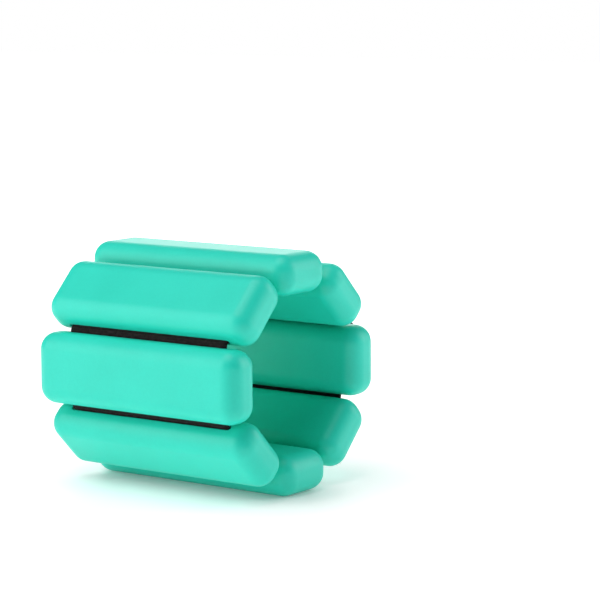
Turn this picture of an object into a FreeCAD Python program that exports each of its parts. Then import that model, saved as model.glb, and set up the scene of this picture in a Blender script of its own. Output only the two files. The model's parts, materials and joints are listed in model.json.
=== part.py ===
"""Ankle cuff weight: eight silicone-covered steel bars in a ring on a wide elastic band.

Units are millimetres. The cuff lies on its side, closed to its smallest ring.
  X  runs along the ring's axis, which is also the length of every bar.
  Z  is up, and the outer face of bar 1 is flat on the plane Z = 0.
  The origin is the middle of that face, under the centre of the ring.

The bars are numbered round the ring from the bottom one: 1 bottom, 2 lower front (-Y side),
3 front, 4 upper front, 5 top, 6 upper back, 7 back, 8 lower back.

Each bar is drawn where bar 1 lies, in its own coordinates, and then turned about the ring's axis:
  s  runs across the bar, towards the next bar in the numbering (-Y on bar 1);
  h  is the depth below the bar's outer face, towards the limb (+Z on bar 1).

The elastic band is one continuous tape on the real object. Here it is cut into rigid lengths with
rounded ends that meet at a hinge line in every gap, so that the chain of bars can be laid flat:
a fixed length in the half of each slot that faces the next bar, and a sliding link in the other
half, which draws out of the slot when the elastic stretches.
"""

import FreeCAD
import Part

import math
import os

# ---------------------------------------------------------------- driving dimensions
BARS = 8                    # bars in the ring
BAR_LENGTH = 76.0           # along X
BAR_WIDTH = 21.7            # along s
BAR_THICKNESS = 12.4        # along h
BAR_ROUNDING = 5.3          # every edge and corner of a bar
RING_OUTER = 36.0           # ring centre to the outer face of a bar

BAND_RADIUS = 28.2          # ring centre to the middle of the band
BAND_THICKNESS = 1.4
BAND_WIDTH = 59.2           # along X
HINGE_SETBACK = 0.9         # hinge line to the centre of a band length's rounded end
HALF_GAP = 0.15             # half the space between the two band lengths inside a bar

SLOT_HEIGHT = 1.8           # along h, with fully rounded ends
SLOT_WIDTH = 60.6           # along X
FULL_ROUND = 0.999          # of half the height: a fillet can't take quite all of a face

CORE_LENGTH = 70.0          # steel core, along X
CORE_WIDTH = 16.0           # along s
CORE_OUTER_H = 3.0          # depth of its outer face
CORE_INNER_H = 10.7         # depth of its inner face
CORE_CHAMFER = 1.2
WINDOW_WIDTH = 62.4         # opening through the core for the band, along X
WINDOW_HEIGHT = 3.2         # along h

# Closure: the band's tail leaves bar 6, climbs the side of bar 7 and lies in a recess in its face.
TAIL_BEND = 3.0             # bend radius of the tail where it turns up out of bar 6
TAIL_SIDE_S = -10.8         # middle of the tail where it climbs the side of bar 7
PEEL_H = 4.75               # depth of the line at which the tab folds back
TAB_BEND = 4.3              # bend radius of the tab over the edge of bar 7
TAB_END_S = 7.0             # tip of the tab
TAB_CORNER = 4.0            # rounding of the tab's tip in plan
TAPE_CLEARANCE = 0.35       # between the tab or the tail and bar 7, and between hooks and loops

RECESS_WIDTH = 61.0         # along X
RECESS_DEPTH = 2.2          # below the outer face of bar 7
RECESS_SIDE_S = -9.75       # bottom of the recess in the side of bar 7
RECESS_END_S = 7.6
RECESS_ROUNDING = 3.4

LOOP_THICKNESS = 0.9
LOOP_WIDTH = 59.0
LOOP_START_S, LOOP_END_S = -3.0, 7.0
HOOK_THICKNESS = 0.7
HOOK_WIDTH = 56.0
HOOK_START_S, HOOK_END_S = -2.6, 6.4
PATCH_CORNER = 1.8          # rounding of both patches in plan

STITCH_LENGTH = 2.2
STITCH_SIZE = 0.4           # width, and half of it stands proud
STITCH_PITCH = 3.3
STITCH_INSET = 0.9          # from the edge of the hook patch

# ---------------------------------------------------------------- values worked out from them
TURN = 360.0 / BARS
HINGE_S = BAND_RADIUS * math.tan(math.radians(TURN / 2))
BAND_H = RING_OUTER - BAND_RADIUS
TAB_OUTER_H = RECESS_DEPTH - LOOP_THICKNESS - TAPE_CLEARANCE - HOOK_THICKNESS - BAND_THICKNESS
TAB_MID_H = TAB_OUTER_H + BAND_THICKNESS / 2
TOLERANCE = 1e-4            # for telling which way an edge runs and where it is
AXIS_POINT = FreeCAD.Vector(0, 0, RING_OUTER)
AXIS = FreeCAD.Vector(1, 0, 0)


def point(x, s, h):
    """A place on bar 1, from its own coordinates to the part's frame."""
    return FreeCAD.Vector(x, -s, h)


def on_bar(shape, number):
    """A shape drawn on bar 1, turned round the ring to the bar of this number."""
    turned = shape.copy()
    turned.rotate(AXIS_POINT, AXIS, -TURN * (number - 1))
    return turned


def block(length, s_from, s_to, h_from, h_to):
    """A plain block centred along X."""
    corner = point(-length / 2, s_to, h_from)
    return Part.makeBox(length, s_to - s_from, h_to - h_from, corner)


def edges_along(shape, axis):
    """The straight edges of a block that run along 'X', 's' or 'h'."""
    direction = {"X": FreeCAD.Vector(1, 0, 0), "s": FreeCAD.Vector(0, 1, 0),
                 "h": FreeCAD.Vector(0, 0, 1)}[axis]
    found = []
    for edge in shape.Edges:
        run = edge.valueAt(edge.LastParameter).sub(edge.valueAt(edge.FirstParameter))
        if run.Length > 0 and run.cross(direction).Length < TOLERANCE:
            found.append(edge)
    return found


def through_slot(width, height, depth_h, reach):
    """A slot straight across the bar along s, with fully rounded ends."""
    slot = block(width, -reach, reach, depth_h - height / 2, depth_h + height / 2)
    return slot.makeFillet(FULL_ROUND * height / 2, edges_along(slot, "s"))


# ---------------------------------------------------------------- bars
def bar_body():
    """The rounded block that a bar looks like from outside."""
    half = BAR_WIDTH / 2
    body = block(BAR_LENGTH, -half, half, 0, BAR_THICKNESS)
    return body.makeFillet(BAR_ROUNDING, body.Edges)


def steel_core():
    """The bar of steel inside, pierced by a wide window for the band."""
    half = CORE_WIDTH / 2
    core = block(CORE_LENGTH, -half, half, CORE_OUTER_H, CORE_INNER_H)
    core = core.makeChamfer(CORE_CHAMFER, edges_along(core, "X"))
    low, high = BAND_H - WINDOW_HEIGHT / 2, BAND_H + WINDOW_HEIGHT / 2
    return core.cut(block(WINDOW_WIDTH, -BAR_WIDTH, BAR_WIDTH, low, high))


def closure_recess():
    """What the jacket of bar 7 leaves free for the tail, the tab and the loop pad."""
    side_h = RECESS_DEPTH + RECESS_ROUNDING
    bend_h = BAND_H - TAIL_BEND * math.sin(math.radians(TURN))
    bend_s = TAIL_SIDE_S - TAIL_BEND
    bend_radius = TAIL_BEND + BAND_THICKNESS / 2 + TAPE_CLEARANCE
    outside = BAR_WIDTH
    diagonal = math.sqrt(0.5)

    def at(s, h):
        return point(-RECESS_WIDTH / 2, s, h)

    def on_bend(degrees):
        angle = math.radians(degrees)
        return at(bend_s + bend_radius * math.cos(angle), bend_h + bend_radius * math.sin(angle))

    def on_corner(dx, dh):
        return at(RECESS_SIDE_S + RECESS_ROUNDING * (1 - dx), side_h - RECESS_ROUNDING * dh)

    corner_start, corner_mid = on_corner(0, 1), on_corner(diagonal, diagonal)
    corner_end = on_corner(1, 0)
    outline = [
        Part.LineSegment(at(RECESS_END_S, -outside), at(RECESS_END_S, RECESS_DEPTH)),
        Part.LineSegment(at(RECESS_END_S, RECESS_DEPTH), corner_start),
        Part.Arc(corner_start, corner_mid, corner_end),
        Part.LineSegment(corner_end, on_bend(0)),
        Part.Arc(on_bend(0), on_bend(TURN / 2), on_bend(TURN)),
        Part.LineSegment(on_bend(TURN), at(-outside, outside)),
        Part.LineSegment(at(-outside, outside), at(-outside, -outside)),
        Part.LineSegment(at(-outside, -outside), at(RECESS_END_S, -outside)),
    ]
    face = Part.Face(Part.Wire([curve.toShape() for curve in outline]))
    return face.extrude(FreeCAD.Vector(RECESS_WIDTH, 0, 0))


def silicone_jacket(with_recess):
    """The moulded cover: the bar's body, less its steel core and the slot for the band."""
    jacket = bar_body().cut(steel_core())
    jacket = jacket.cut(through_slot(SLOT_WIDTH, SLOT_HEIGHT, BAND_H, BAR_WIDTH))
    return jacket.cut(closure_recess()) if with_recess else jacket


# ---------------------------------------------------------------- band
def tape(start, heading, moves, rounded_start=True, rounded_end=True):
    """A length of band: lines and arcs in the s-h plane, thickened and given the band's width.

    start is (s, h); heading is in degrees from +s towards +h; a move is ("line", length) or
    ("arc", radius, turn in degrees), where a positive turn goes from +s towards +h.
    """
    half = BAND_THICKNESS / 2

    def offset(place, degrees, side):
        angle = math.radians(degrees)
        return point(-BAND_WIDTH / 2, place[0] - side * half * math.sin(angle),
                     place[1] + side * half * math.cos(angle))

    def beyond(place, degrees):
        angle = math.radians(degrees)
        return point(-BAND_WIDTH / 2, place[0] + half * math.cos(angle),
                     place[1] + half * math.sin(angle))

    def step(place, degrees, move):
        angle = math.radians(degrees)
        if move[0] == "line":
            run = move[1]
            return (place[0] + run * math.cos(angle), place[1] + run * math.sin(angle)), degrees
        radius, turn = move[1], move[2]
        side = math.copysign(radius, turn)
        new = math.radians(degrees + turn)
        return (place[0] + side * (math.sin(new) - math.sin(angle)),
                place[1] - side * (math.cos(new) - math.cos(angle))), degrees + turn

    sides = {1: [], -1: []}
    place, degrees = start, heading
    for move in moves:
        end, end_degrees = step(place, degrees, move)
        for side in sides:
            first, last = offset(place, degrees, side), offset(end, end_degrees, side)
            if move[0] == "line":
                sides[side].append(Part.LineSegment(first, last).toShape())
            else:
                mid, mid_degrees = step(place, degrees, ("arc", move[1], move[2] / 2))
                sides[side].append(Part.Arc(first, offset(mid, mid_degrees, side), last).toShape())
        place, degrees = end, end_degrees

    def cap(at, facing, outward, rounded):
        first, last = offset(at, facing, 1), offset(at, facing, -1)
        if rounded:
            return Part.Arc(first, beyond(at, outward), last).toShape()
        return Part.LineSegment(first, last).toShape()

    caps = [cap(start, heading, heading + 180, rounded_start), cap(place, degrees, degrees, rounded_end)]
    wire = Part.Wire(Part.__sortEdges__(sides[1] + sides[-1] + caps))
    return Part.Face(wire).extrude(FreeCAD.Vector(BAND_WIDTH, 0, 0))


HALF_LENGTH = HINGE_S - HINGE_SETBACK - HALF_GAP


def fixed_length():
    """The band held in the half of a bar's slot that faces the next bar."""
    return tape((HALF_GAP, BAND_H), 0, [("line", HALF_LENGTH)], rounded_start=False)


def end_length():
    """The end of the band, which runs nearly all the way through bar 7."""
    inner_end = -BAR_WIDTH / 2 + HINGE_SETBACK
    return tape((inner_end, BAND_H), 0, [("line", HINGE_S - HINGE_SETBACK - inner_end)],
                rounded_start=False)


def sliding_link():
    """The band in the other half of the slot, which the next hinge line pulls out."""
    return tape((-HALF_GAP, BAND_H), 180, [("line", HALF_LENGTH)], rounded_start=False)


def band_tail():
    """The tail: out of the slot of bar 6, and turned up the side of bar 7."""
    climb = BAND_H - TAIL_BEND * math.sin(math.radians(TURN)) - PEEL_H - HINGE_SETBACK
    return tape((HALF_GAP, BAND_H), 0,
                [("line", HINGE_S - HALF_GAP), ("arc", TAIL_BEND, -TURN), ("line", climb)],
                rounded_start=False)


def hook_tab():
    """The tab, drawn on bar 7: over its edge and along the recess to a rounded tip."""
    start = (TAIL_SIDE_S, PEEL_H - HINGE_SETBACK)
    flat = TAB_END_S - (TAIL_SIDE_S + TAB_BEND)
    tab = tape(start, -90, [("arc", TAB_BEND, 90), ("line", flat)], rounded_end=False)
    tip = [edge for edge in edges_along(tab, "h")
           if abs(edge.CenterOfMass.y + TAB_END_S) < TOLERANCE]
    return tab.makeFillet(TAB_CORNER, tip)


# ---------------------------------------------------------------- closure
def patch(width, s_from, s_to, h_from, h_to):
    """A flat patch of hook or loop tape with rounded corners."""
    flat = block(width, s_from, s_to, h_from, h_to)
    return flat.makeFillet(PATCH_CORNER, edges_along(flat, "h"))


def loop_pad():
    return patch(LOOP_WIDTH, LOOP_START_S, LOOP_END_S, RECESS_DEPTH - LOOP_THICKNESS, RECESS_DEPTH)


def hook_patch():
    inner = TAB_OUTER_H + BAND_THICKNESS
    return patch(HOOK_WIDTH, HOOK_START_S, HOOK_END_S, inner, inner + HOOK_THICKNESS)


def tab_stitching():
    """A row of stitches round the hook patch, lying on the tab's outer side."""
    proud = STITCH_SIZE / 2
    top, bottom = TAB_OUTER_H - proud, TAB_OUTER_H
    row_x = HOOK_WIDTH / 2 - STITCH_INSET
    row_s = (HOOK_START_S + STITCH_INSET, HOOK_END_S - STITCH_INSET)
    across = int((2 * row_x - STITCH_LENGTH) // STITCH_PITCH) + 1
    stitches = []
    for s in row_s:
        for i in range(across):
            x = (i - (across - 1) / 2) * STITCH_PITCH
            stitch = block(STITCH_LENGTH, s - proud, s + proud, top, bottom)
            stitch.translate(FreeCAD.Vector(x, 0, 0))
            stitches.append(stitch)
    middle = sum(row_s) / 2
    for x in (-row_x, row_x):
        for side in (-0.5, 0.5):
            s = middle + side * STITCH_PITCH
            stitch = block(STITCH_SIZE, s - STITCH_LENGTH / 2, s + STITCH_LENGTH / 2, top, bottom)
            stitch.translate(FreeCAD.Vector(x, 0, 0))
            stitches.append(stitch)
    return Part.makeCompound(stitches)


# ---------------------------------------------------------------- the whole cuff
def build():
    nodes = {}
    core, plain, recessed = steel_core(), silicone_jacket(False), silicone_jacket(True)
    for number in range(1, BARS + 1):
        nodes[f"bar_{number}_jacket"] = on_bar(recessed if number == 7 else plain, number)
        nodes[f"bar_{number}_core"] = on_bar(core, number)
    for number in (1, 2, 3, 4, 5, 8):
        nodes[f"band_length_{number}"] = on_bar(fixed_length(), number)
    nodes["band_end"] = on_bar(end_length(), 7)
    for number in (2, 3, 4, 5, 6):
        nodes[f"band_link_{number - 1}_{number}"] = on_bar(sliding_link(), number)
    nodes["band_link_8_1"] = on_bar(sliding_link(), 1)
    nodes["band_link_7_8"] = on_bar(sliding_link(), 8)
    nodes["band_tail"] = on_bar(band_tail(), 6)
    nodes["hook_tab"] = on_bar(hook_tab(), 7)
    nodes["hook_patch"] = on_bar(hook_patch(), 7)
    nodes["loop_pad"] = on_bar(loop_pad(), 7)
    nodes["tab_stitching"] = on_bar(tab_stitching(), 7)
    return nodes


os.makedirs("parts", exist_ok=True)
for name, shape in build().items():
    if not shape.isValid():
        raise ValueError(f"{name} is not a valid shape")
    shape.exportStep(f"parts/{name}.step")
    print(f"{name}: {len(shape.Solids)} solid(s), {shape.Volume / 1000:.3f} cm3")
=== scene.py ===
import json
import math

import bmesh
import bpy
from mathutils import Matrix, Vector
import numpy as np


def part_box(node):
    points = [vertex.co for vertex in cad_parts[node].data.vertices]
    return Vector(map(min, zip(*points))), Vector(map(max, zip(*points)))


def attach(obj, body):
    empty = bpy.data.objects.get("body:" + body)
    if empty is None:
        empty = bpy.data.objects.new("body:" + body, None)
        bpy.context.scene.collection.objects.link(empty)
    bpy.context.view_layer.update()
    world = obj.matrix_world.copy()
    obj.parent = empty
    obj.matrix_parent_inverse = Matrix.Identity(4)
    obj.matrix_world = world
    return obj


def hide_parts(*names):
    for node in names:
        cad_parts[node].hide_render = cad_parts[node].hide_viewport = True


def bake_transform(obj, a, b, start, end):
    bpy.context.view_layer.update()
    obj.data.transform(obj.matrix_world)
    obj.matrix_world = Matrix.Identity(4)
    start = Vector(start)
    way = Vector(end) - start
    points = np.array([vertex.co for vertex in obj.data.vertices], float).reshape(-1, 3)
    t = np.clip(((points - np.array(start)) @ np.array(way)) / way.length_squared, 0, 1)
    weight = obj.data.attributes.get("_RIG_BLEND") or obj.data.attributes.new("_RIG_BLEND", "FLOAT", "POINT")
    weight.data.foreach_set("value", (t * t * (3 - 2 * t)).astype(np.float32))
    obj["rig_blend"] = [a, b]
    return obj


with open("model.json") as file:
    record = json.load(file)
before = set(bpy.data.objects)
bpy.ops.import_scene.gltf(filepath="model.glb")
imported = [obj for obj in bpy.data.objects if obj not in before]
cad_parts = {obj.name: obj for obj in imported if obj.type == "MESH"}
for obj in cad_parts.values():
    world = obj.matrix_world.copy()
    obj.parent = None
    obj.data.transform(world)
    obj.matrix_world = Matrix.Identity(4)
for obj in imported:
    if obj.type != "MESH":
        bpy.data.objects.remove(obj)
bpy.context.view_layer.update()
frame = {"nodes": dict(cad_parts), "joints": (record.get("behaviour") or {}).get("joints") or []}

# ---------------------------------------------------------------- steel cores
# Eight cold-drawn steel bars, sawn to length and pierced by a window for the band. They give the
# cuff its weight and are moulded into the jackets, so only their finish is added here.
BARS = 8


def new_material(name):
    """An empty material with its surface shader, and the tools to add nodes to it."""
    material = bpy.data.materials.new(name)
    material.use_nodes = True
    tree = material.node_tree
    return material, tree, tree.nodes["Principled BSDF"]


def add(tree, kind, **values):
    """A node, with its properties and its unlinked inputs set by name."""
    node = tree.nodes.new(kind)
    for key, value in values.items():
        if hasattr(node, key):
            setattr(node, key, value)
        else:
            node.inputs[key.replace("_", " ")].default_value = value
    return node


def new_group(name, inputs, outputs):
    """A shader node group; inputs and outputs give each socket's name, type and default."""
    tree = bpy.data.node_groups.new(name, "ShaderNodeTree")
    for label, kind, default in inputs:
        socket = tree.interface.new_socket(label, in_out="INPUT", socket_type=kind)
        if default is not None:
            socket.default_value = default
    for label, kind in outputs:
        tree.interface.new_socket(label, in_out="OUTPUT", socket_type=kind)
    return tree, tree.nodes.new("NodeGroupInput"), tree.nodes.new("NodeGroupOutput")


def place_group(tree, group, **values):
    """One use of a node group, with its own values."""
    node = tree.nodes.new("ShaderNodeGroup")
    node.node_tree = group
    for key, value in values.items():
        node.inputs[key.replace("_", " ")].default_value = value
    return node


def two_tones(tree, low, low_colour, high, high_colour):
    """A ramp from one colour to another between two places on a mask."""
    ramp = tree.nodes.new("ShaderNodeValToRGB")
    for stop, position, tone in zip(ramp.color_ramp.elements, (low, high), (low_colour, high_colour)):
        stop.position = position
        stop.color = (*tone, 1)
    return ramp


# Mottle: two soft sizes of cloudiness, which dull and lift a finish unevenly as handling does.
mottle, mottle_in, mottle_out = new_group(
    "mottle",
    [("Vector", "NodeSocketVector", None), ("Large", "NodeSocketFloat", 40.0),
     ("Fine", "NodeSocketFloat", 900.0), ("Fine Share", "NodeSocketFloat", 0.3)],
    [("Mask", "NodeSocketFloat")])
mottle_large = add(mottle, "ShaderNodeTexNoise", Detail=3.0, Roughness=0.5)
mottle_fine = add(mottle, "ShaderNodeTexNoise", Detail=2.0, Roughness=0.6)
mottle_mix = add(mottle, "ShaderNodeMix", data_type="FLOAT")
for noise, size in ((mottle_large, "Large"), (mottle_fine, "Fine")):
    mottle.links.new(mottle_in.outputs["Vector"], noise.inputs["Vector"])
    mottle.links.new(mottle_in.outputs[size], noise.inputs["Scale"])
mottle.links.new(mottle_in.outputs["Fine Share"], mottle_mix.inputs["Factor"])
mottle.links.new(mottle_large.outputs["Fac"], mottle_mix.inputs["A"])
mottle.links.new(mottle_fine.outputs["Fac"], mottle_mix.inputs["B"])
mottle.links.new(mottle_mix.outputs["Result"], mottle_out.inputs["Mask"])

steel, tree, shader = new_material("drawn_steel")
shader.inputs["Metallic"].default_value = 1.0
place = add(tree, "ShaderNodeTexCoord")
drawn = add(tree, "ShaderNodeMapping", Scale=(40, 1800, 1800))
lines = add(tree, "ShaderNodeTexNoise", Scale=1.0, Detail=4.0)
colour = two_tones(tree, 0, (0.36, 0.37, 0.39), 1, (0.62, 0.63, 0.65))
rough = add(tree, "ShaderNodeMapRange", To_Min=0.28, To_Max=0.5)
relief = add(tree, "ShaderNodeBump", Strength=0.3, Distance=0.00002)
tree.links.new(place.outputs["Object"], drawn.inputs["Vector"])
tree.links.new(drawn.outputs["Vector"], lines.inputs["Vector"])
tree.links.new(lines.outputs["Fac"], colour.inputs["Fac"])
tree.links.new(lines.outputs["Fac"], rough.inputs["Value"])
tree.links.new(lines.outputs["Fac"], relief.inputs["Height"])
tree.links.new(colour.outputs["Color"], shader.inputs["Base Color"])
tree.links.new(rough.outputs["Result"], shader.inputs["Roughness"])
tree.links.new(relief.outputs["Normal"], shader.inputs["Normal"])
for number in range(1, BARS + 1):
    core = frame["nodes"][f"bar_{number}_core"]
    core.material_slots[0].material = steel

# ---------------------------------------------------------------- silicone jackets
# Each core is overmoulded in one shot of satin silicone with generous rounding on every edge.
# A slot for the band goes straight through from side to side, with a soft lip at each mouth. The
# band's two ends meet at one bar, whose face carries the closure.
MM = 0.001
JACKET_ROUNDING = 5.3 * MM
ROUNDING_STEPS = 14
SLOT_WIDTH = 60.6 * MM
SLOT_HEIGHT = 1.8 * MM
SLOT_LIP = 0.3 * MM
SLOT_CORNER = 0.83 * MM
LIP_STEPS = 4
CORNER_STEPS = 6
SHARP_ANGLE = 38
FULL_WEIGHT = 100
CLOSURE_BAR = 7

bar_low, bar_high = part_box("bar_1_jacket")
bar_size = bar_high - bar_low
band_low, band_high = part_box("band_length_1")
band_h = (band_low.z + band_high.z) / 2
ring_centre = Vector((0, 0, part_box("bar_5_jacket")[1].z / 2))


# Shapes are drawn on bar 1. There s is the distance from the bar's middle line towards bar 2, which
# is -Y, and h is the depth below the bar's outer face, which is +Z.
def bar_turn(number):
    """From where bar 1 lies to where the bar of this number lies in the ring."""
    turn = Matrix.Rotation(-math.tau * (number - 1) / BARS, 4, "X")
    return Matrix.Translation(ring_centre) @ turn @ Matrix.Translation(-ring_centre)


def finish_piece(bm, name, material, number, smooth_angle=None):
    """The mesh turned to its bar, shaded smooth and made an object."""
    bmesh.ops.transform(bm, matrix=bar_turn(number), verts=bm.verts)
    mesh = bpy.data.meshes.new(name)
    bm.to_mesh(mesh)
    bm.free()
    mesh.shade_smooth()
    if smooth_angle is not None:
        mesh.set_sharp_from_angle(angle=math.radians(smooth_angle))
    mesh.materials.append(material)
    piece = bpy.data.objects.new(name, mesh)
    bpy.context.collection.objects.link(piece)
    return piece


def even_normals(piece):
    """Keeps the large flats flat where they run into the rounding."""
    even = piece.modifiers.new("even_normals", "WEIGHTED_NORMAL")
    even.weight = FULL_WEIGHT
    even.keep_sharp = True


silicone, tree, shader = new_material("satin_silicone")
shader.inputs["IOR"].default_value = 1.45
shader.inputs["Subsurface Weight"].default_value = 0.12
shader.inputs["Subsurface Scale"].default_value = 0.0015
shader.inputs["Subsurface Radius"].default_value = (0.35, 1.0, 0.8)
place = add(tree, "ShaderNodeTexCoord")
cloud = place_group(tree, mottle, Large=55.0, Fine=1400.0, Fine_Share=0.35)
tint = two_tones(tree, 0.3, (0.016, 0.69, 0.528), 0.7, (0.022, 0.75, 0.58))
rough = add(tree, "ShaderNodeMapRange", To_Min=0.36, To_Max=0.48)
pores = add(tree, "ShaderNodeTexNoise", Scale=4200.0, Detail=2.0)
relief = add(tree, "ShaderNodeBump", Strength=0.45, Distance=0.00004)
tree.links.new(place.outputs["Object"], cloud.inputs["Vector"])
tree.links.new(place.outputs["Object"], pores.inputs["Vector"])
tree.links.new(cloud.outputs["Mask"], tint.inputs["Fac"])
tree.links.new(cloud.outputs["Mask"], rough.inputs["Value"])
tree.links.new(pores.outputs["Fac"], relief.inputs["Height"])
tree.links.new(tint.outputs["Color"], shader.inputs["Base Color"])
tree.links.new(rough.outputs["Result"], shader.inputs["Roughness"])
tree.links.new(relief.outputs["Normal"], shader.inputs["Normal"])


def rounded_block():
    """One jacket where bar 1 lies, before anything is cut out of it."""
    bm = bmesh.new()
    bmesh.ops.create_cube(bm, size=1)
    bmesh.ops.scale(bm, vec=bar_size, verts=bm.verts)
    bmesh.ops.translate(bm, vec=(bar_low + bar_high) / 2, verts=bm.verts)
    bmesh.ops.bevel(bm, geom=bm.edges[:], offset=JACKET_ROUNDING, affect="EDGES",
                    segments=ROUNDING_STEPS, profile=0.5, material=-1)
    return bm


def slot_cutter():
    """The slot's own shape: a flat passage with round ends, flared out at both mouths."""
    bm = bmesh.new()
    bmesh.ops.create_cube(bm, size=1)
    bmesh.ops.scale(bm, vec=(SLOT_WIDTH, bar_size.y - 2 * SLOT_LIP, SLOT_HEIGHT), verts=bm.verts)
    bmesh.ops.translate(bm, vec=(0, 0, band_h), verts=bm.verts)
    lengthwise = [edge for edge in bm.edges
                  if abs(edge.verts[0].co.y - edge.verts[1].co.y) > bar_size.y / 2]
    bmesh.ops.bevel(bm, geom=lengthwise, offset=SLOT_CORNER, affect="EDGES",
                    segments=CORNER_STEPS, profile=0.5, material=-1)
    for side in (-1, 1):
        mouth = max(bm.faces, key=lambda face: side * face.calc_center_median().y)
        rise, spread = 0, 0
        for i in range(1, LIP_STEPS + 1):
            angle = math.pi / 2 * i / LIP_STEPS
            rise_before, spread_before = rise, spread
            rise, spread = SLOT_LIP * math.sin(angle), SLOT_LIP * (1 - math.cos(angle))
            bmesh.ops.inset_individual(bm, faces=[mouth], thickness=spread_before - spread,
                                       depth=rise - rise_before)
        beyond = bmesh.ops.extrude_discrete_faces(bm, faces=[mouth])["faces"][0]
        bmesh.ops.translate(bm, vec=(0, side * SLOT_HEIGHT, 0), verts=beyond.verts)
    bmesh.ops.recalc_face_normals(bm, faces=bm.faces)
    return bm


CUTTING_SLOTS = 3    # a jacket and up to two tools keep their faces apart by material index


def scratch_object(bm, index):
    """A mesh as an object at a scale of millimetres, with one material index on all its faces."""
    for face in bm.faces:
        face.material_index = index
    bmesh.ops.scale(bm, vec=Vector((1, 1, 1)) / MM, verts=bm.verts)
    mesh = bpy.data.meshes.new("scratch")
    bm.to_mesh(mesh)
    bm.free()
    for _ in range(CUTTING_SLOTS):
        mesh.materials.append(silicone)
    scratch = bpy.data.objects.new("scratch", mesh)
    bpy.context.collection.objects.link(scratch)
    return scratch


def carve(bm, *tools):
    """Takes each tool's shape out of a mesh. The faces a tool leaves carry its number, from 1."""
    block = scratch_object(bm, 0)
    cutters = [scratch_object(tool, index) for index, tool in enumerate(tools, 1)]
    for cutter in cutters:
        cut = block.modifiers.new("cut", "BOOLEAN")
        cut.object = cutter
        cut.operation = "DIFFERENCE"
        cut.solver = "EXACT"
    bpy.context.view_layer.update()
    depsgraph = bpy.context.evaluated_depsgraph_get()
    carved = bmesh.new()
    carved.from_mesh(block.evaluated_get(depsgraph).data)
    bmesh.ops.scale(carved, vec=Vector((MM, MM, MM)), verts=carved.verts)
    for scratch in [block] + cutters:
        bpy.data.objects.remove(scratch)
    return carved


def new_edges(geometry):
    """The far edges of an extrusion: those whose two ends are both new."""
    ends = {item for item in geometry if isinstance(item, bmesh.types.BMVert)}
    return [item for item in geometry if isinstance(item, bmesh.types.BMEdge)
            and set(item.verts) <= ends]


def corners_of(ring):
    """An outline's vertices, each once, in the order of its edges."""
    return list(dict.fromkeys(corner for edge in ring for corner in edge.verts))


def mark_length(bm, ring, length):
    """Writes on an outline how far along its path it lies."""
    mark = bm.verts.layers.float["length"]
    for corner in corners_of(ring):
        corner[mark] = length


def length_of(bm, ring):
    """How far along its path an outline lies."""
    return ring[0].verts[0][bm.verts.layers.float["length"]]


def extend(bm, ring, heading, distance, steps=1):
    """Draws an outline on in a straight line; heading is the angle from +s towards the limb."""
    run = Vector((0, -math.cos(heading), math.sin(heading))) * distance / steps
    for _ in range(steps):
        length = length_of(bm, ring) + distance / steps
        ring = new_edges(bmesh.ops.extrude_edge_only(bm, edges=ring)["geom"])
        bmesh.ops.translate(bm, vec=run, verts=corners_of(ring))
        mark_length(bm, ring, length)
    return ring


def curve_on(bm, ring, heading, radius, turn, steps):
    """Draws an outline on round a bend; a positive turn goes from +s towards the limb."""
    corners = corners_of(ring)
    middle = sum((corner.co for corner in corners), Vector()) / len(corners)
    side = Vector((0, math.sin(heading), math.cos(heading))) * math.copysign(1, turn)
    for _ in range(steps):
        length = length_of(bm, ring) + radius * abs(turn) / steps
        ring = new_edges(bmesh.ops.extrude_edge_only(bm, edges=ring)["geom"])
        bmesh.ops.rotate(bm, cent=middle + side * radius, verts=corners_of(ring),
                         matrix=Matrix.Rotation(-turn / steps, 3, "X"))
        mark_length(bm, ring, length)
    return ring, heading + turn


# The closure's bar has a pocket for it: a shallow recess in its face, which runs out over one side.
RECESS_WIDTH = 61.0 * MM
RECESS_DEPTH = 2.2 * MM
RECESS_END_S = 7.6 * MM
RECESS_SIDE_S = -9.75 * MM
RECESS_ROUNDING = 3.4 * MM
RECESS_RIM = 0.2 * MM
RIM_END_H = 6.3 * MM
CUTTER_DEPTH = 3.4 * MM
CUTTER_RUN_OUT = 8.0 * MM
TAIL_BEND = 3.0 * MM
HALF_TURN = math.pi / BARS

joint_place = {joint["name"]: Vector(joint["pos_m"]) for joint in frame["joints"]
               if joint["type"] == "hinge"}
peel = bar_turn(CLOSURE_BAR).inverted() @ joint_place["tab_peel"]
peel_s, peel_h = -peel.y, peel.z


def recess_cutter():
    """The pocket's own shape, drawn on bar 1 as it lies on its bar, and thickened outwards."""
    bm = bmesh.new()
    bm.verts.layers.float.new("length")
    corners = [bm.verts.new((side * RECESS_WIDTH / 2, -RECESS_END_S, RECESS_DEPTH))
               for side in (-1, 1)]
    edge = extend(bm, [bm.edges.new(corners)], math.pi, RECESS_END_S - RECESS_SIDE_S - RECESS_ROUNDING)
    edge, heading = curve_on(bm, edge, math.pi, RECESS_ROUNDING, -math.pi / 2, ROUNDING_STEPS)
    bend_h = band_h - TAIL_BEND * math.sin(2 * HALF_TURN)
    edge = extend(bm, edge, heading, bend_h - RECESS_DEPTH - RECESS_ROUNDING)
    bend_radius = TAIL_BEND + RECESS_SIDE_S - peel_s
    edge, heading = curve_on(bm, edge, heading, bend_radius, 2 * HALF_TURN, ROUNDING_STEPS)
    extend(bm, edge, heading, CUTTER_RUN_OUT)
    bmesh.ops.recalc_face_normals(bm, faces=bm.faces)
    bmesh.ops.solidify(bm, geom=bm.faces[:], thickness=-CUTTER_DEPTH)
    bmesh.ops.recalc_face_normals(bm, faces=bm.faces)
    return bm


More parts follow.
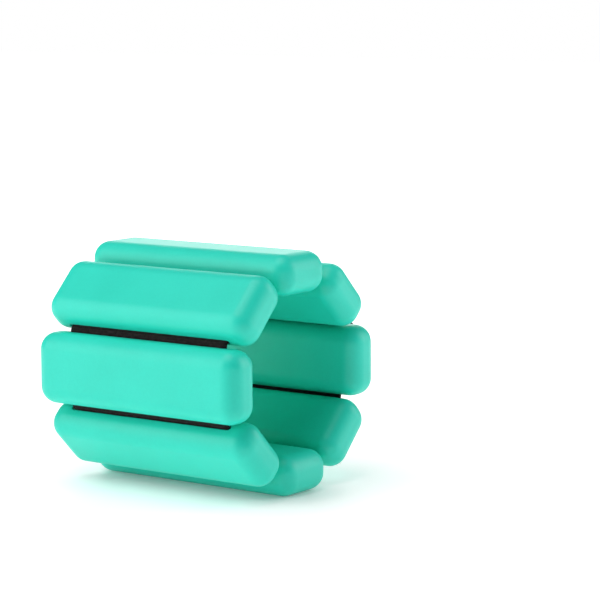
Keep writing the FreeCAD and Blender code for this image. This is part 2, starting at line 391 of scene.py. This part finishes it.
def soften_rim(bm):
    """Rounds the pocket's rim, where the first tool's faces meet the jacket's own."""
    rim = [edge for edge in bm.edges
           if {face.material_index for face in edge.link_faces} == {0, 1}
           and all(corner.co.z < RIM_END_H for corner in edge.verts)]
    bmesh.ops.bevel(bm, geom=rim, offset=RECESS_RIM, affect="EDGES",
                    segments=3, profile=0.5, material=-1, clamp_overlap=False)


for number in range(1, BARS + 1):
    if number == CLOSURE_BAR:
        bm = carve(rounded_block(), recess_cutter(), slot_cutter())
        soften_rim(bm)
    else:
        bm = carve(rounded_block(), slot_cutter())
    for face in bm.faces:
        face.material_index = 0
    jacket = finish_piece(bm, f"jacket_{number}", silicone, number, SHARP_ANGLE)
    even_normals(jacket)
    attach(jacket, f"bar_{number}")
    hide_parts(f"bar_{number}_jacket")

# ---------------------------------------------------------------- elastic band
# One flat woven elastic tape, as wide as most of a bar, threaded through all eight slots. Its
# rubber cords run along it as fine ribs, between two plain woven edges, and weft threads cross them.
BAND_THICKNESS = 1.4 * MM
RIB_PITCH = 0.8 * MM
RIB_HEIGHT = 0.09 * MM
POINTS_PER_RIB = 6
EDGE_STEPS = 6
PLAIN_EDGE = 1.6 * MM
GAP_BEND_RADIUS = 2.0 * MM

band_width = band_high.x - band_low.x
hinge_s = -joint_place["cuff_open"].y

# Weave: threads that cross at right angles, one set over the other in turn, on a UV map in millimetres.
weave, weave_in, weave_out = new_group(
    "weave",
    [("Vector", "NodeSocketVector", None), ("Warp Pitch", "NodeSocketFloat", 0.4),
     ("Weft Pitch", "NodeSocketFloat", 0.3), ("Fuzz", "NodeSocketFloat", 0.3)],
    [("Height", "NodeSocketFloat"), ("Shade", "NodeSocketFloat")])


def wave_along(axis, pitch):
    """A thread's roundness across one axis of the map: 0 between threads and 1 on their tops."""
    parts = add(weave, "ShaderNodeSeparateXYZ")
    turns = add(weave, "ShaderNodeMath", operation="DIVIDE")
    angle = add(weave, "ShaderNodeMath", operation="MULTIPLY")
    angle.inputs[1].default_value = math.pi
    wave = add(weave, "ShaderNodeMath", operation="SINE")
    weave.links.new(weave_in.outputs["Vector"], parts.inputs["Vector"])
    weave.links.new(parts.outputs[axis], turns.inputs[0])
    weave.links.new(weave_in.outputs[pitch], turns.inputs[1])
    weave.links.new(turns.outputs["Value"], angle.inputs[0])
    weave.links.new(angle.outputs["Value"], wave.inputs[0])
    return wave


over_under = add(weave, "ShaderNodeMath", operation="MULTIPLY")
threads = add(weave, "ShaderNodeMapRange", From_Min=-1.0, From_Max=1.0)
fuzz = add(weave, "ShaderNodeTexNoise", Scale=1.5, Detail=3.0, Roughness=0.75)
height = add(weave, "ShaderNodeMix", data_type="FLOAT")
weave.links.new(wave_along("X", "Warp Pitch").outputs["Value"], over_under.inputs[0])
weave.links.new(wave_along("Y", "Weft Pitch").outputs["Value"], over_under.inputs[1])
weave.links.new(over_under.outputs["Value"], threads.inputs["Value"])
weave.links.new(weave_in.outputs["Vector"], fuzz.inputs["Vector"])
weave.links.new(weave_in.outputs["Fuzz"], height.inputs["Factor"])
weave.links.new(threads.outputs["Result"], height.inputs["A"])
weave.links.new(fuzz.outputs["Fac"], height.inputs["B"])
weave.links.new(height.outputs["Result"], weave_out.inputs["Height"])
weave.links.new(fuzz.outputs["Fac"], weave_out.inputs["Shade"])


def woven_material(name, dark, light, warp, weft, fuzz_share, relief_height):
    """A black textile: two near blacks picked out by the weave, with a soft nap."""
    material, tree, shader = new_material(name)
    shader.inputs["Sheen Weight"].default_value = 0.03
    shader.inputs["Sheen Roughness"].default_value = 0.5
    shader.inputs["Specular IOR Level"].default_value = 0.06
    mapped = add(tree, "ShaderNodeUVMap", uv_map="tape")
    cloth = place_group(tree, weave, Warp_Pitch=warp, Weft_Pitch=weft, Fuzz=fuzz_share)
    colour = two_tones(tree, 0.42, dark, 0.6, light)
    rough = add(tree, "ShaderNodeMapRange", To_Min=0.7, To_Max=0.95)
    relief = add(tree, "ShaderNodeBump", Strength=0.6, Distance=relief_height)
    tree.links.new(mapped.outputs["UV"], cloth.inputs["Vector"])
    tree.links.new(cloth.outputs["Height"], colour.inputs["Fac"])
    tree.links.new(cloth.outputs["Shade"], rough.inputs["Value"])
    tree.links.new(cloth.outputs["Height"], relief.inputs["Height"])
    tree.links.new(colour.outputs["Color"], shader.inputs["Base Color"])
    tree.links.new(rough.outputs["Result"], shader.inputs["Roughness"])
    tree.links.new(relief.outputs["Normal"], shader.inputs["Normal"])
    return material


elastic = woven_material("black_elastic", (0.002, 0.0015, 0.0015), (0.05, 0.036, 0.037),
                         warp=0.4, weft=0.32, fuzz_share=0.7, relief_height=0.0001)


def band_section(bm, s, h):
    """The band's outline across its width at s and h, ribbed on both faces, round at both edges."""
    edge_radius = BAND_THICKNESS / 2
    half = band_width / 2
    ribbed = half - edge_radius
    steps = int(2 * ribbed / RIB_PITCH) * POINTS_PER_RIB
    outline = []
    for side in (1, -1):
        for i in range(steps + 1):
            x = side * (2 * ribbed * i / steps - ribbed)
            inside = min(1, max(0, (half - PLAIN_EDGE - abs(x)) / RIB_PITCH))
            rib = inside * RIB_HEIGHT * (math.cos(math.tau * x / RIB_PITCH) - 1) / 2
            outline.append((x, side * (edge_radius + rib)))
        for i in range(1, EDGE_STEPS):
            angle = math.pi / 2 - math.pi * i / EDGE_STEPS
            outline.append((side * (ribbed + edge_radius * math.cos(angle)),
                            side * edge_radius * math.sin(angle)))
    ring = [bm.verts.new((x, -s, h + off_middle)) for x, off_middle in outline]
    return [bm.edges.new((a, b)) for a, b in zip(ring, ring[1:] + ring[:1])]


def finish_tape(bm, *open_rings):
    """Closes the cut ends, turns every face outwards and maps the tape in millimetres."""
    for ring in open_rings:
        bmesh.ops.holes_fill(bm, edges=ring, sides=0)
    bmesh.ops.recalc_face_normals(bm, faces=bm.faces)
    mark = bm.verts.layers.float["length"]
    tape = bm.loops.layers.uv.new("tape")
    for face in bm.faces:
        for loop in face.loops:
            loop[tape].uv = (loop.vert.co.x / MM, loop.vert[mark] / MM)
    bm.verts.layers.float.remove(mark)


STRETCH_RESERVE = 0.15 * MM
BAND_END_S = -9.95 * MM
BEND_STEPS = 8
bend_reach = GAP_BEND_RADIUS * math.tan(HALF_TURN)


def gap_band(start_s):
    """The band across one gap, from start_s in bar 1's slot to the middle of bar 2's."""
    bm = bmesh.new()
    bm.verts.layers.float.new("length")
    straight = hinge_s - STRETCH_RESERVE - bend_reach
    first = band_section(bm, start_s, band_h)
    ring = extend(bm, first, 0, hinge_s - bend_reach - start_s, steps=3)
    ring, heading = curve_on(bm, ring, 0, GAP_BEND_RADIUS, 2 * HALF_TURN, BEND_STEPS)
    last = extend(bm, ring, heading, straight, steps=3)
    finish_tape(bm, first, last)
    return bm


def in_bar(number, s, h):
    """A point of the bar of this number, s across it and h below its face, in the part's frame."""
    return bar_turn(number) @ Vector((0, -s, h))


for number in (1, 2, 3, 4, 5, 7, 8):
    after = number % BARS + 1
    free_end = number == CLOSURE_BAR
    band = finish_piece(gap_band(BAND_END_S if free_end else STRETCH_RESERVE),
                        f"band_gap_{number}_{after}", elastic, number)
    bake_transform(band, f"bar_{number}", f"link_{number}_{after}",
             start=in_bar(number, hinge_s - bend_reach, band_h),
             end=in_bar(after, bend_reach - hinge_s, band_h))
    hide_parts("band_end" if free_end else f"band_length_{number}",
                f"band_link_{number}_{after}")

# ---------------------------------------------------------------- tail and tab
# The other end of the same tape comes out of bar 6, climbs the side of bar 7 and lies in a recess
# in its face, where hook tape holds it. Its tip is cut round, and it folds back along one line.
TAB_BEND = 4.3 * MM
TAB_FLAT = 13.5 * MM
TAB_CORNER = 4.0 * MM
CORNER_CUTS = 6
ON_PLANE = 1e-7
TAB_FLAT_STEPS, TAB_BEND_STEPS, CLIMB_STEPS = 5, 14, 6
FOLD_LENGTH = 1.8 * MM

tab_tip_s = peel_s + TAB_BEND + TAB_FLAT
tab_mid_h = peel_h - FOLD_LENGTH / 2 - TAB_BEND


def round_tip(bm, tip_s):
    """Cuts both corners of the tab's tip round."""
    for side in (-1, 1):
        centre = Vector((side * (band_width / 2 - TAB_CORNER), TAB_CORNER - tip_s, 0))
        for i in range(1, CORNER_CUTS):
            angle = math.pi / 2 * i / CORNER_CUTS
            facing = Vector((side * math.cos(angle), -math.sin(angle), 0))
            bmesh.ops.bisect_plane(bm, geom=bm.verts[:] + bm.edges[:] + bm.faces[:], dist=ON_PLANE,
                                   plane_co=centre + facing * TAB_CORNER, plane_no=facing,
                                   clear_outer=True)
            rim = [edge for edge in bm.edges if edge.is_boundary]
            bmesh.ops.holes_fill(bm, edges=rim, sides=0)


def tail_and_tab():
    """The tape drawn on bar 1 as it lies on the closure's bar, from the tab's tip back into bar 6."""
    bm = bmesh.new()
    bm.verts.layers.float.new("length")
    tip = band_section(bm, tab_tip_s, tab_mid_h)
    ring = extend(bm, tip, math.pi, TAB_FLAT, TAB_FLAT_STEPS)
    ring, heading = curve_on(bm, ring, math.pi, TAB_BEND, -math.pi / 2, TAB_BEND_STEPS)
    climb = band_h - TAIL_BEND * math.sin(2 * HALF_TURN) - peel_h + FOLD_LENGTH / 2
    ring = extend(bm, ring, heading, climb, CLIMB_STEPS)
    ring, heading = curve_on(bm, ring, heading, TAIL_BEND, 2 * HALF_TURN, BEND_STEPS)
    root = extend(bm, ring, heading, hinge_s - STRETCH_RESERVE, steps=2)
    finish_tape(bm, tip, root)
    round_tip(bm, tab_tip_s)
    return bm


tab = finish_piece(tail_and_tab(), "tail_and_tab", elastic, CLOSURE_BAR)
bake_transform(tab, "bar_6", "tab", start=in_bar(CLOSURE_BAR, peel_s, peel_h + FOLD_LENGTH / 2),
         end=in_bar(CLOSURE_BAR, peel_s, peel_h - FOLD_LENGTH / 2))
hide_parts("band_tail", "hook_tab")

# ---------------------------------------------------------------- hook and loop tape
# A strip of moulded nylon hooks is sewn under the tab, and a pad of knitted nylon loops is glued
# in the recess below it. Both are cut from black tape with rounded corners.
PATCH_CORNER = 1.8 * MM
PATCH_CORNER_STEPS = 8
PATCH_EDGE = 0.08 * MM
PATCH_SHARP_ANGLE = 50
LOOP_BASE = 0.35 * MM
HOOK_BASE = 0.25 * MM
LOOP_PITCH = 1.05 * MM
HOOK_PITCH = 1.35 * MM
LOOP_THREAD = 0.09 * MM
HOOK_THREAD = 0.11 * MM
LOOP_REACH = 0.32 * MM
HOOK_REACH = 0.15 * MM
LOOP_TURN, HOOK_TURN = math.pi, math.radians(200)
LOOP_STEPS, HOOK_STEPS = 7, 6
THREAD_SIDES = 5
LOOP_LEAN, HOOK_LEAN = 1.2, 0.25
LEAN_BY_ROW, LEAN_BY_COLUMN = 12.9, 4.1


def nylon_material(name, dark, light, roughness_low, roughness_high, relief_height):
    """Black nylon, unevenly faded and a little rough."""
    material, tree, shader = new_material(name)
    shader.inputs["Specular IOR Level"].default_value = 0.35
    place = add(tree, "ShaderNodeTexCoord")
    cloud = place_group(tree, mottle, Large=160.0, Fine=5200.0, Fine_Share=0.6)
    colour = two_tones(tree, 0.35, dark, 0.7, light)
    rough = add(tree, "ShaderNodeMapRange", To_Min=roughness_low, To_Max=roughness_high)
    relief = add(tree, "ShaderNodeBump", Strength=0.5, Distance=relief_height)
    tree.links.new(place.outputs["Object"], cloud.inputs["Vector"])
    tree.links.new(cloud.outputs["Mask"], colour.inputs["Fac"])
    tree.links.new(cloud.outputs["Mask"], rough.inputs["Value"])
    tree.links.new(cloud.outputs["Mask"], relief.inputs["Height"])
    tree.links.new(colour.outputs["Color"], shader.inputs["Base Color"])
    tree.links.new(rough.outputs["Result"], shader.inputs["Roughness"])
    tree.links.new(relief.outputs["Normal"], shader.inputs["Normal"])
    return material


hook_nylon = nylon_material("hook_nylon", (0.008, 0.008, 0.009), (0.022, 0.022, 0.024),
                            roughness_low=0.35, roughness_high=0.5, relief_height=0.00002)
loop_nylon = nylon_material("loop_nylon", (0.007, 0.007, 0.007), (0.03, 0.028, 0.028),
                            roughness_low=0.75, roughness_high=0.95, relief_height=0.00005)


def local_box(node, number):
    """A node's lowest and highest corners in its own bar's coordinates, as drawn on bar 1."""
    flat = bar_turn(number).inverted()
    corners = [flat @ vert.co for vert in frame["nodes"][node].data.vertices]
    return (Vector(min(corner[i] for corner in corners) for i in range(3)),
            Vector(max(corner[i] for corner in corners) for i in range(3)))


def tape_base(bm, low, high):
    """The backing of a patch: a thin plate with rounded corners and softened edges."""
    plate = bmesh.ops.create_cube(bm, size=1)["verts"]
    bmesh.ops.scale(bm, vec=high - low, verts=plate)
    bmesh.ops.translate(bm, vec=(low + high) / 2, verts=plate)
    upright = [edge for edge in bm.edges
               if abs(edge.verts[0].co.z - edge.verts[1].co.z) > (high.z - low.z) / 2]
    bmesh.ops.bevel(bm, geom=upright, offset=PATCH_CORNER, affect="EDGES",
                    segments=PATCH_CORNER_STEPS, profile=0.5, material=-1)
    rims = [edge for edge in bm.edges if edge.calc_face_angle(0) > 1]
    bmesh.ops.bevel(bm, geom=rims, offset=PATCH_EDGE, affect="EDGES", segments=2,
                    profile=0.5, material=-1)


def bent_thread(radius, reach, turn, steps, leg):
    """One thread: a leg that stands on the origin towards -Z, then an arc over +X."""
    bm = bmesh.new()
    bmesh.ops.create_circle(bm, segments=THREAD_SIDES, radius=radius, cap_ends=True)
    bmesh.ops.translate(bm, vec=(0, 0, radius / 2), verts=bm.verts)
    ring = new_edges(bmesh.ops.extrude_edge_only(bm, edges=bm.edges[:])["geom"])
    bmesh.ops.translate(bm, vec=(0, 0, -leg), verts=corners_of(ring))
    for _ in range(steps):
        ring = new_edges(bmesh.ops.extrude_edge_only(bm, edges=ring)["geom"])
        bmesh.ops.rotate(bm, cent=(reach, 0, radius / 2 - leg), verts=corners_of(ring),
                         matrix=Matrix.Rotation(-turn / steps, 3, "Y"))
    bmesh.ops.holes_fill(bm, edges=ring, sides=0)
    bmesh.ops.recalc_face_normals(bm, faces=bm.faces)
    mesh = bpy.data.meshes.new("one_thread")
    bm.to_mesh(mesh)
    bm.free()
    return mesh


def pile(bm, low, high, base, pitch, largest_lean, thread):
    """Rows of threads over a patch. Each is turned a little differently, and the same on each run."""
    columns = int((high.x - low.x - 2 * pitch) / pitch)
    rows = int((high.y - low.y - pitch) / pitch)
    for row in range(rows):
        for column in range(columns):
            lean = math.sin(LEAN_BY_ROW * row + LEAN_BY_COLUMN * column) * largest_lean
            x = (column - (columns - 1) / 2 + (row % 2) / 2 - 1 / 4) * pitch
            y = (low.y + high.y) / 2 + (row - (rows - 1) / 2) * pitch
            stand = Matrix.Translation((x, y, base)) @ Matrix.Rotation(lean, 4, "Z")
            thread.transform(stand)
            bm.from_mesh(thread)
            thread.transform(stand.inverted())
    bpy.data.meshes.remove(thread)


loop_low, loop_high = local_box("loop_pad", CLOSURE_BAR)
bm = bmesh.new()
tape_base(bm, Vector((loop_low.x, loop_low.y, loop_high.z - LOOP_BASE)), loop_high)
loop_rise = loop_high.z - LOOP_BASE - loop_low.z
pile(bm, loop_low, loop_high, loop_high.z - LOOP_BASE, LOOP_PITCH, LOOP_LEAN,
     bent_thread(LOOP_THREAD, LOOP_REACH, LOOP_TURN, LOOP_STEPS, loop_rise - LOOP_REACH - LOOP_THREAD))
loop_pad = finish_piece(bm, "loop_tape", loop_nylon, CLOSURE_BAR, PATCH_SHARP_ANGLE)
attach(loop_pad, "bar_7")
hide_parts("loop_pad")

hook_low, hook_high = local_box("hook_patch", CLOSURE_BAR)
bm = bmesh.new()
hook_rise = hook_high.z - hook_low.z - HOOK_BASE
tape_base(bm, Vector((hook_low.x, hook_low.y, -hook_low.z - HOOK_BASE)),
          Vector((hook_high.x, hook_high.y, -hook_low.z)))
pile(bm, hook_low, hook_high, -hook_low.z - HOOK_BASE, HOOK_PITCH, HOOK_LEAN,
     bent_thread(HOOK_THREAD, HOOK_REACH, HOOK_TURN, HOOK_STEPS, hook_rise - HOOK_REACH - HOOK_THREAD))
bmesh.ops.scale(bm, vec=(1, 1, -1), verts=bm.verts)
bmesh.ops.reverse_faces(bm, faces=bm.faces)
hook_patch = finish_piece(bm, "hook_tape", hook_nylon, CLOSURE_BAR, PATCH_SHARP_ANGLE)
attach(hook_patch, "tab")
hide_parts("hook_patch")

# ---------------------------------------------------------------- tab stitching
# One lockstitch row of bonded polyester thread runs round the hook patch. Each stitch is pulled
# down into the tape at both ends, so only its rounded back stands proud.
THREAD_RADIUS = 0.2 * MM
STITCH_LENGTH = 2.2 * MM
STITCH_SIDES, STITCH_RINGS = 10, 8
SAME_PLACE = 0.001 * MM

thread = nylon_material("bonded_thread", (0.012, 0.012, 0.013), (0.05, 0.048, 0.05),
                        roughness_low=0.4, roughness_high=0.6, relief_height=0.00003)
bm = bmesh.new()
seam = bmesh.new()
seam.from_mesh(frame["nodes"]["tab_stitching"].data)
bmesh.ops.transform(seam, matrix=bar_turn(CLOSURE_BAR).inverted(), verts=seam.verts)
bmesh.ops.remove_doubles(seam, verts=seam.verts, dist=SAME_PLACE)
placed = set()
for first in seam.verts:
    if first in placed:
        continue
    island, grown = set(), {first}
    while grown:
        vert = grown.pop()
        island.add(vert)
        grown |= {edge.other_vert(vert) for edge in vert.link_edges} - island
    placed |= island
    low = Vector(min(vert.co[i] for vert in island) for i in range(3))
    high = Vector(max(vert.co[i] for vert in island) for i in range(3))
    stitch = bmesh.ops.create_uvsphere(bm, u_segments=STITCH_SIDES, v_segments=STITCH_RINGS,
                                       radius=THREAD_RADIUS)["verts"]
    straight = STITCH_LENGTH / 2 - THREAD_RADIUS
    for vert in stitch:
        if abs(vert.co.z) > SAME_PLACE:
            vert.co.z += math.copysign(straight, vert.co.z)
    lies_along_x = high.x - low.x > high.y - low.y
    bmesh.ops.rotate(bm, cent=(0, 0, 0), verts=stitch,
                     matrix=Matrix.Rotation(math.pi / 2, 3, "Y" if lies_along_x else "X"))
    bmesh.ops.translate(bm, verts=stitch,
                        vec=((low.x + high.x) / 2, (low.y + high.y) / 2, high.z))
seam.free()
stitching = finish_piece(bm, "tab_stitches", thread, CLOSURE_BAR)
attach(stitching, "tab")
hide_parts("tab_stitching")

# ---------------------------------------------------------------- floor, light and camera
# A seamless white studio table whose glow is painted light: it glows more the further it is from
# the bar the cuff stands on, so that it stays white up to a short soft shadow, which the glow paints.
# Four large soft boxes stand round it.
FLOOR_HALF_SIZE = 3
GLOW_START = 8 * MM
GLOW_FULL = 1200 * MM
GLOW_LEVELS = ((GLOW_START, 0.09), (23 * MM, 0.32), (60 * MM, 0.38), (330 * MM, 0.62), (GLOW_FULL, 1.0))
# A faint pink in the glow, painted to take out the green light the cuff throws on the floor.
GREEN_BOUNCE_PAINTED_OUT_TINT = Vector((1, 0.97, 0.985))
STANDING_HALF_LENGTH = 27 * MM

floor_mesh = bpy.data.meshes.new("studio_floor")
bm = bmesh.new()
bmesh.ops.create_grid(bm, x_segments=1, y_segments=1, size=FLOOR_HALF_SIZE)
bm.to_mesh(floor_mesh)
bm.free()
floor_material, tree, shader = new_material("studio_white_painted_glow")
shader.inputs["Roughness"].default_value = 0.6
shader.inputs["Specular IOR Level"].default_value = 0.2
# The floor's white has the same faint pink, painted to take out the cuff's green bounce light.
shader.inputs["Base Color"].default_value = (0.96, 0.93, 0.94, 1)
shader.inputs["Emission Strength"].default_value = 1.0
place = add(tree, "ShaderNodeTexCoord")
quarter = add(tree, "ShaderNodeVectorMath", operation="ABSOLUTE")
past_end = add(tree, "ShaderNodeVectorMath", operation="SUBTRACT")
past_end.inputs[1].default_value = (STANDING_HALF_LENGTH, 0, 0)
outside = add(tree, "ShaderNodeVectorMath", operation="MAXIMUM")
away = add(tree, "ShaderNodeVectorMath", operation="LENGTH")
reach = add(tree, "ShaderNodeMapRange", From_Min=GLOW_START, From_Max=GLOW_FULL)
# Painted light: the floor's glow rises with distance from the cuff and so paints the shape of its shadow.
painted_glow = add(tree, "ShaderNodeValToRGB")
for _ in GLOW_LEVELS[2:]:
    painted_glow.color_ramp.elements.new(1.0)
for stop, (distance, level) in zip(painted_glow.color_ramp.elements, GLOW_LEVELS):
    stop.position = (distance - GLOW_START) / (GLOW_FULL - GLOW_START)
    stop.color = (*(GREEN_BOUNCE_PAINTED_OUT_TINT * level), 1)
tree.links.new(place.outputs["Object"], quarter.inputs[0])
tree.links.new(quarter.outputs["Vector"], past_end.inputs[0])
tree.links.new(past_end.outputs["Vector"], outside.inputs[0])
tree.links.new(outside.outputs["Vector"], away.inputs[0])
tree.links.new(away.outputs["Value"], reach.inputs["Value"])
tree.links.new(reach.outputs["Result"], painted_glow.inputs["Fac"])
tree.links.new(painted_glow.outputs["Color"], shader.inputs["Emission Color"])
floor_mesh.materials.append(floor_material)
floor = bpy.data.objects.new("studio_floor", floor_mesh)
bpy.context.collection.objects.link(floor)


# Each soft box: its name, its place in metres, its width in metres and its power in watts.
SOFT_BOXES = (("left_front", (-0.62, -0.85, 0.50), 1.0, 7.1),
              ("right_back", (0.75, 0.75, 0.45), 0.8, 5.4),
              ("above", (-0.10, -0.25, 1.15), 0.9, 7.0),
              ("behind", (-0.62, 0.95, 0.30), 0.7, 4.0))
for name, place, width, power in SOFT_BOXES:
    light = bpy.data.lights.new(name, "AREA")
    light.shape = "SQUARE"
    light.size = width
    light.energy = power
    lamp = bpy.data.objects.new(name, light)
    lamp.location = place
    lamp.rotation_euler = (ring_centre - Vector(place)).to_track_quat("-Z", "Y").to_euler()
    bpy.context.collection.objects.link(lamp)

# The surround is white to the eye, and lights the cuff more weakly than it looks.
SURROUND_LIGHT = 0.08
world = bpy.data.worlds.new("white_surround")
world.use_nodes = True
tree = world.node_tree
surround = tree.nodes["Background"]
surround.inputs["Color"].default_value = (1, 1, 1, 1)
sight = add(tree, "ShaderNodeLightPath")
strength = add(tree, "ShaderNodeMapRange", To_Min=SURROUND_LIGHT, To_Max=1.0)
tree.links.new(sight.outputs["Is Camera Ray"], strength.inputs["Value"])
tree.links.new(strength.outputs["Result"], surround.inputs["Strength"])
bpy.context.scene.world = world
bpy.context.scene.view_settings.view_transform = "Standard"

CAMERA_PLACE = Vector((0.4535, -0.5679, 0.1533))
CAMERA_AIM = Vector((-0.5878, 0.7978, -0.1339))
CAMERA_ROLL = -0.40
CAMERA_LENS = 145.4
CAMERA_SENSOR = 36
camera_data = bpy.data.cameras.new("camera")
camera_data.lens = CAMERA_LENS
camera_data.sensor_width = CAMERA_SENSOR
camera = bpy.data.objects.new("camera", camera_data)
camera.location = CAMERA_PLACE
level = CAMERA_AIM.to_track_quat("-Z", "Y").to_matrix()
camera.rotation_euler = (level @ Matrix.Rotation(math.radians(CAMERA_ROLL), 3, "Z")).to_euler()
bpy.context.collection.objects.link(camera)
bpy.context.scene.camera = camera
